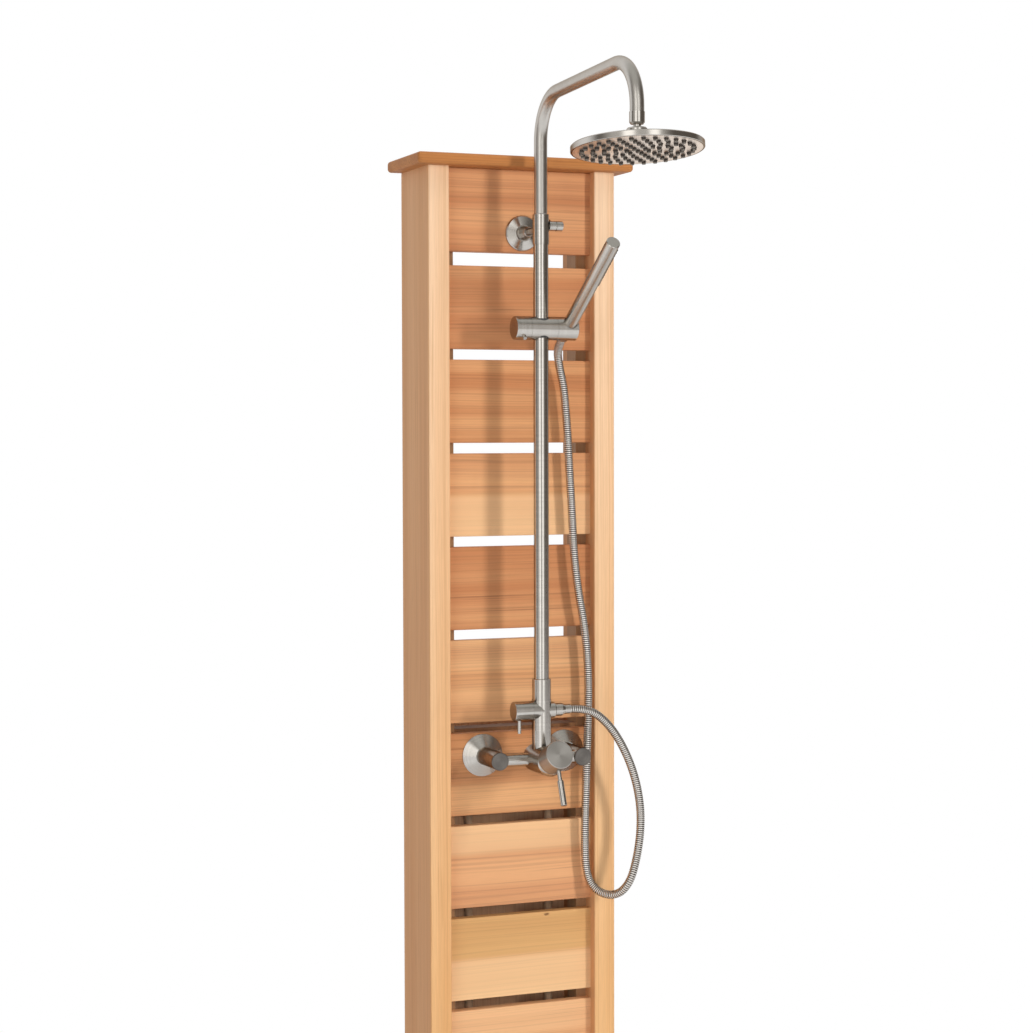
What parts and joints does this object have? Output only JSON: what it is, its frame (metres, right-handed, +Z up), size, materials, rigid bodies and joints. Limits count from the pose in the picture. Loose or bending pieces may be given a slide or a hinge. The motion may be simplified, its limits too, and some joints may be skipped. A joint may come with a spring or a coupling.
{
  "type": "outdoor shower post",
  "caption": "Free-standing slatted wood post with an exposed bath mixer, riser, overhead arm with a round rain head, and a sliding baton hand shower on a ribbed hose.",
  "frame": {"origin": "underside of the foot plate, midway between the posts and midway through their depth", "axes": "+Z up along the posts, the front with the shower set faces -Y, +X to the right as seen from the front"},
  "size_m": [0.44, 0.7592, 2.2709],
  "materials": {
    "post_cedar": "oiled",
    "slat_cedar": "oiled",
    "cap_cedar": "oiled",
    "satin_steel": "satin",
    "hose_steel": "bright",
    "plate_steel": "satin",
    "zinc_screw": "plain",
    "elbow_brass": "plain",
    "nozzle_rubber": "matt",
    "bearing_plastic": "matt",
    "white_plastic": "gloss"
  },
  "bodies": {
    "post": {"post_board_left": "post_cedar", "post_board_right": "post_cedar", "cap_board": "cap_cedar", "cap_screws": "zinc_screw", "slat_01": "slat_cedar", "slat_07": "slat_cedar", "slats_02_to_06": "slat_cedar", "slats_08_to_13": "slat_cedar", "slat_battens": "post_cedar", "slat_screws": "zinc_screw", "frame_screws": "zinc_screw", "back_cover": "post_cedar", "blocking_board": "post_cedar", "foot_plate": "plate_steel", "foot_bolts": "plate_steel", "wall_elbows": "elbow_brass", "supply_pipes": "satin_steel", "wall_unions": "elbow_brass", "mixer_body": "satin_steel", "inlet_caps": "satin_steel", "inlet_rosettes": "satin_steel", "cartridge": "white_plastic", "valve_dome": "satin_steel", "diverter_body": "satin_steel", "hose_nut_lower": "satin_steel", "hose_outlet": "satin_steel", "riser_sleeve": "satin_steel", "riser_tube": "satin_steel", "riser_collar": "satin_steel", "bracket_rosette": "satin_steel", "bracket_socket": "satin_steel", "bracket_rod": "satin_steel", "bracket_stud": "zinc_screw", "hose_lower": "hose_steel", "hose_middle": "hose_steel"},
    "temperature_carrier": {"cartridge_carrier": "elbow_brass"},
    "lever": {"lever_stem": "satin_steel", "mixer_hub": "satin_steel", "lever_handle": "satin_steel"},
    "diverter": {"diverter_knob": "satin_steel", "diverter_spindle": "satin_steel"},
    "arm_guide": {"arm_guide_ring": "bearing_plastic"},
    "arm": {"overhead_arm": "satin_steel", "arm_ferrule": "satin_steel", "swivel_ball": "satin_steel"},
    "arm_lock": {"collar_lock": "satin_steel"},
    "head_turn": {"ball_seat": "bearing_plastic"},
    "head": {"head_nut": "satin_steel", "head_shell": "satin_steel", "head_face": "satin_steel", "head_nozzles": "nozzle_rubber"},
    "slider": {"slider_body": "satin_steel", "slider_bush": "bearing_plastic", "hose_top": "hose_steel"},
    "slider_lock": {"slider_knob": "satin_steel"},
    "holder": {"handset_holder": "satin_steel"},
    "handset": {"handset_tube": "satin_steel", "handset_cap": "satin_steel", "handset_nozzles": "nozzle_rubber", "cone_nut": "satin_steel"}
  },
  "joints": [
    {"name": "temperature_turn", "type": "hinge", "parent": "post", "child": "temperature_carrier", "pos_m": [0.006, -0.16815, 1.1464], "axis": [0, 1, 0], "range_deg": [-45, 45]},
    {"name": "flow_lever", "type": "hinge", "parent": "temperature_carrier", "child": "lever", "pos_m": [0.006, -0.16815, 1.1464], "axis": [1, 0, 0], "range_deg": [0, 22]},
    {"name": "diverter_turn", "type": "hinge", "parent": "post", "child": "diverter", "pos_m": [0.006, -0.13485, 1.229], "axis": [-1, 0, 0], "range_deg": [0, 90]},
    {"name": "arm_height", "type": "slide", "parent": "post", "child": "arm_guide", "axis": [0, 0, 1], "range_m": [-0.1, 0.22]},
    {"name": "arm_swivel", "type": "hinge", "parent": "arm_guide", "child": "arm", "pos_m": [0.006, -0.13485, 2.0326], "axis": [0, 0, 1], "range_deg": [-90, 90]},
    {"name": "collar_lock_turn", "type": "hinge", "parent": "post", "child": "arm_lock", "pos_m": [0.006, -0.13485, 2.0386], "axis": [1, 0, 0], "range_deg": [0, 120]},
    {"name": "head_swivel", "type": "hinge", "parent": "arm", "child": "head_turn", "pos_m": [0.006, -0.51585, 2.14314], "axis": [0, 0, 1], "continuous": true},
    {"name": "head_tilt", "type": "hinge", "parent": "head_turn", "child": "head", "pos_m": [0.006, -0.51585, 2.14314], "axis": [1, 0, 0], "range_deg": [-9.5, 20.5]},
    {"name": "slider_height", "type": "slide", "parent": "post", "child": "slider", "axis": [0, 0, 1], "range_m": [-0.56, 0.11], "deforming": ["hose_lower", "hose_middle", "hose_top"]},
    {"name": "slider_lock_turn", "type": "hinge", "parent": "slider", "child": "slider_lock", "pos_m": [0.006, -0.13485, 1.8681], "axis": [-1, 0, 0], "range_deg": [0, 120]},
    {"name": "holder_tilt", "type": "hinge", "parent": "slider", "child": "holder", "pos_m": [0.054, -0.13485, 1.8681], "axis": [1, 0, 0], "range_deg": [-35, 55]},
    {"name": "handset_lift", "type": "slide", "parent": "holder", "child": "handset", "axis": [0, -0.8241, 0.5664], "range_m": [0, 0.08]}
  ]
}
